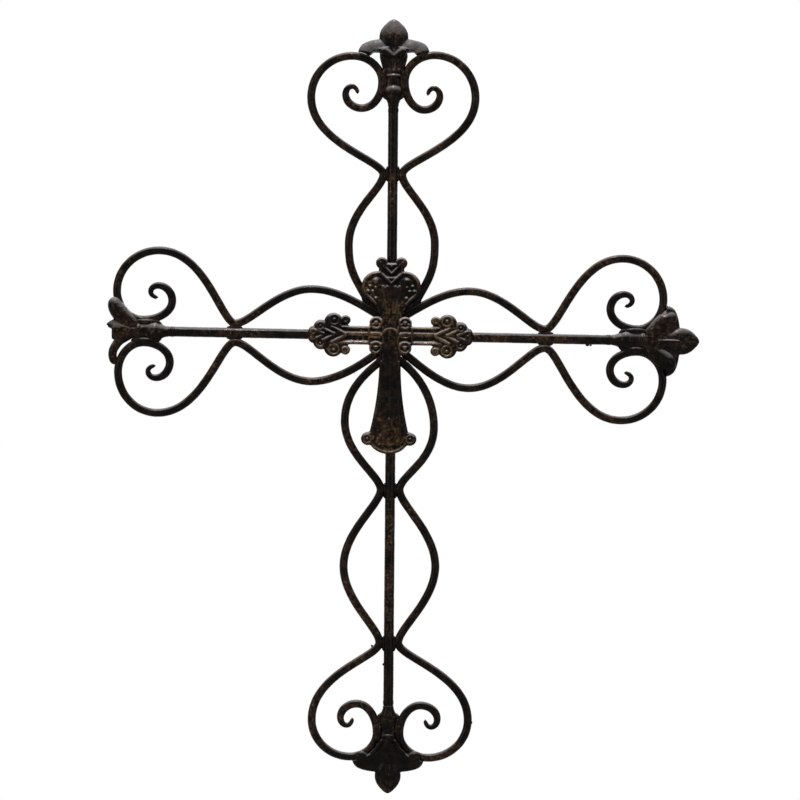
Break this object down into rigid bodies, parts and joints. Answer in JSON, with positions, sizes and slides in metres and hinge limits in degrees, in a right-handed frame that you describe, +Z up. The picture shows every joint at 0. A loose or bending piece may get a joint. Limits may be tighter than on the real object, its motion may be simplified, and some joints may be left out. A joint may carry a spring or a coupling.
{
  "type": "wrought iron wall cross",
  "caption": "Wrought iron wall cross: a round stem and crossbar with paired scroll rods that form hearts and lenses, lily caps and a cast relief cross over the crossing.",
  "frame": {"origin": "the wall plane at the level of the two nails that carry the cross, one on each side of the stem just under the top arm's waist", "axes": "+Z up the stem, +Y into the wall, +X to the viewer's right"},
  "size_m": [0.4654, 0.0156, 0.6078],
  "materials": {
    "bars": "satin near-black bronze paint over iron, rubbed with brown and gold",
    "rods": "satin near-black bronze paint over iron, rubbed with brown and gold",
    "castings": "satin near-black bronze paint over cast iron, gold brown where it is rubbed"
  },
  "bodies": {
    "root": {"stem": "bars", "crossbar_left": "bars", "crossbar_right": "bars", "scroll_top_left": "rods", "scroll_top_right": "rods", "scroll_bottom_left": "rods", "scroll_bottom_right": "rods", "scroll_left_upper": "rods", "scroll_left_lower": "rods", "scroll_right_upper": "rods", "scroll_right_lower": "rods", "cap_top": "castings", "cap_bottom": "castings", "cap_left": "castings", "cap_right": "castings", "plaque": "castings"}
  },
  "joints": []
}
